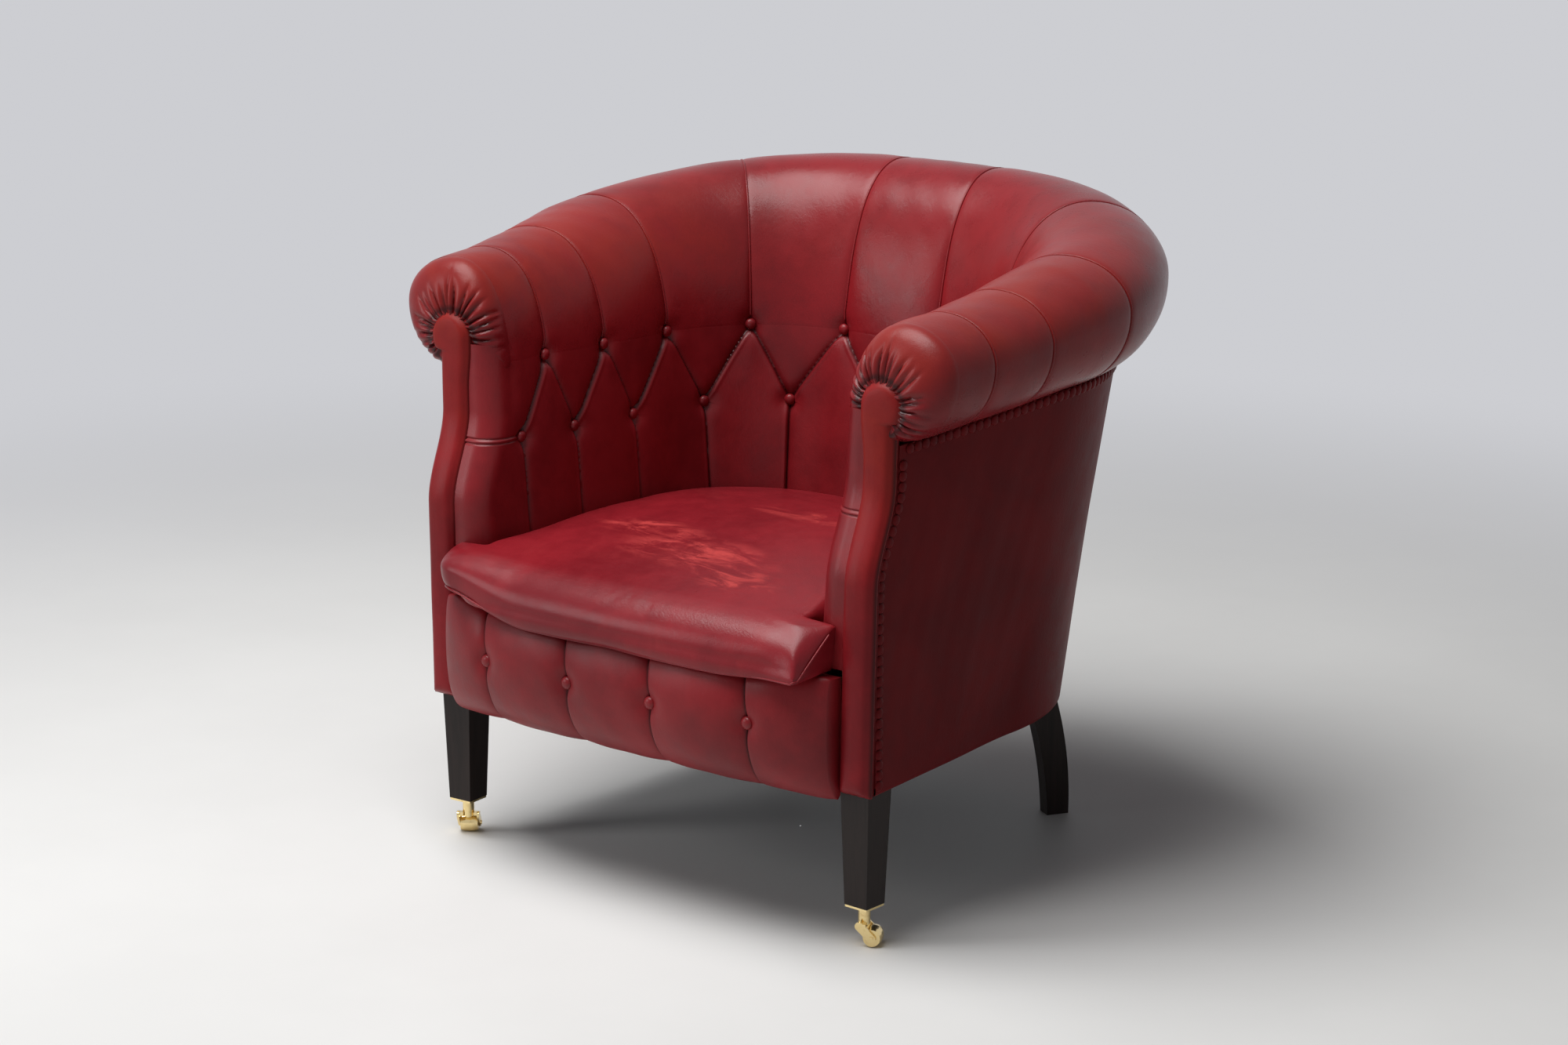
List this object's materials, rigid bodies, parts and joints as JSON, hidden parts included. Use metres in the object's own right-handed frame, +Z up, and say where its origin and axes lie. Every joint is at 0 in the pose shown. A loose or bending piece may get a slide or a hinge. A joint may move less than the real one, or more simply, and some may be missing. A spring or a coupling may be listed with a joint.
{
  "type": "tub armchair",
  "caption": "Buttoned leather tub armchair with a scrolled top roll, loose seat cushion, nailed outside cover, sabre rear legs and brass castors in front.",
  "frame": {"origin": "on the floor, centred under the overall bounding box", "axes": "+Z up, the sitter looks along -Y, +X is the sitter's left"},
  "size_m": [0.8126, 0.7043, 0.7457],
  "materials": {
    "roll_leather": "semi-gloss, rubbed lighter along the arm tops",
    "inside_leather": "semi-gloss",
    "outside_leather": "semi-gloss, slightly darker than the inside",
    "facing_leather": "semi-gloss",
    "piping_leather": "semi-gloss",
    "button_leather": "semi-gloss",
    "nail_leather": "semi-gloss, leather-covered heads",
    "border_leather": "semi-gloss",
    "seat_leather": "semi-gloss with rubbed, scuffed patches towards the back",
    "leg_wood": "near-black stained hardwood, satin polish",
    "frame_beech": "plain unfinished beech",
    "castor_brass": "polished, a little aged",
    "screw_steel": "plain zinc",
    "spring_steel": "oiled spring steel",
    "jute": "coarse woven jute",
    "deck_wadding": "stuffed calico",
    "dust_cloth": "thin black cloth"
  },
  "bodies": {
    "frame": {"back_seat_rail": "frame_beech", "back_webbing": "jute", "border_buttons": "button_leather", "castor_pin_left": "castor_brass", "castor_pin_right": "castor_brass", "castor_plate_left": "castor_brass", "castor_plate_right": "castor_brass", "castor_screws": "screw_steel", "corner_blocks": "frame_beech", "dust_cover": "dust_cloth", "facing_left": "facing_leather", "facing_piping_left": "piping_leather", "facing_piping_right": "piping_leather", "facing_right": "facing_leather", "front_border": "border_leather", "front_leg_left": "leg_wood", "front_leg_right": "leg_wood", "front_post_left": "frame_beech", "front_post_right": "frame_beech", "front_seat_rail": "frame_beech", "inside_arm_left": "inside_leather", "inside_arm_right": "inside_leather", "inside_back": "inside_leather", "inside_buttons": "button_leather", "nails": "nail_leather", "outside_arm_left": "outside_leather", "outside_arm_right": "outside_leather", "outside_back": "outside_leather", "rear_leg_left": "leg_wood", "rear_leg_right": "leg_wood", "roll_end_left": "roll_leather", "roll_end_right": "roll_leather", "roll_panel_01": "roll_leather", "roll_panel_02": "roll_leather", "roll_panel_03": "roll_leather", "roll_panel_04": "roll_leather", "roll_panel_05": "roll_leather", "roll_panel_06": "roll_leather", "roll_panel_07": "roll_leather", "roll_panel_08": "roll_leather", "roll_panel_09": "roll_leather", "roll_panel_10": "roll_leather", "roll_panel_11": "roll_leather", "scroll_rail": "frame_beech", "seat_deck": "deck_wadding", "seat_springs": "spring_steel", "side_seat_rail_left": "frame_beech", "side_seat_rail_right": "frame_beech", "spring_clips": "screw_steel", "spring_cover": "jute", "stiles": "frame_beech", "tacking_rail": "frame_beech"},
    "seat_cushion": {"seat_cushion": "seat_leather"},
    "castor_fork_left": {"castor_fork_left": "castor_brass", "castor_axle_left": "castor_brass"},
    "castor_wheel_left": {"castor_wheel_left": "castor_brass"},
    "castor_fork_right": {"castor_fork_right": "castor_brass", "castor_axle_right": "castor_brass"},
    "castor_wheel_right": {"castor_wheel_right": "castor_brass"}
  },
  "joints": [
    {"name": "castor_swivel_left", "type": "hinge", "parent": "frame", "child": "castor_fork_left", "pos_m": [0.282, -0.259, 0.03], "axis": [0, 0, 1], "continuous": true},
    {"name": "castor_roll_left", "type": "hinge", "parent": "castor_fork_left", "child": "castor_wheel_left", "pos_m": [0.2911, -0.25485, 0.0105], "axis": [-0.4147, 0.91, 0], "continuous": true},
    {"name": "castor_swivel_right", "type": "hinge", "parent": "frame", "child": "castor_fork_right", "pos_m": [-0.282, -0.259, 0.03], "axis": [0, 0, 1], "continuous": true},
    {"name": "castor_roll_right", "type": "hinge", "parent": "castor_fork_right", "child": "castor_wheel_right", "pos_m": [-0.28766, -0.25076, 0.0105], "axis": [-0.8241, -0.5664, 0], "continuous": true},
    {"name": "cushion_lift", "type": "slide", "parent": "frame", "child": "seat_cushion", "axis": [0, 0, 1], "range_m": [0, 0.45]}
  ]
}
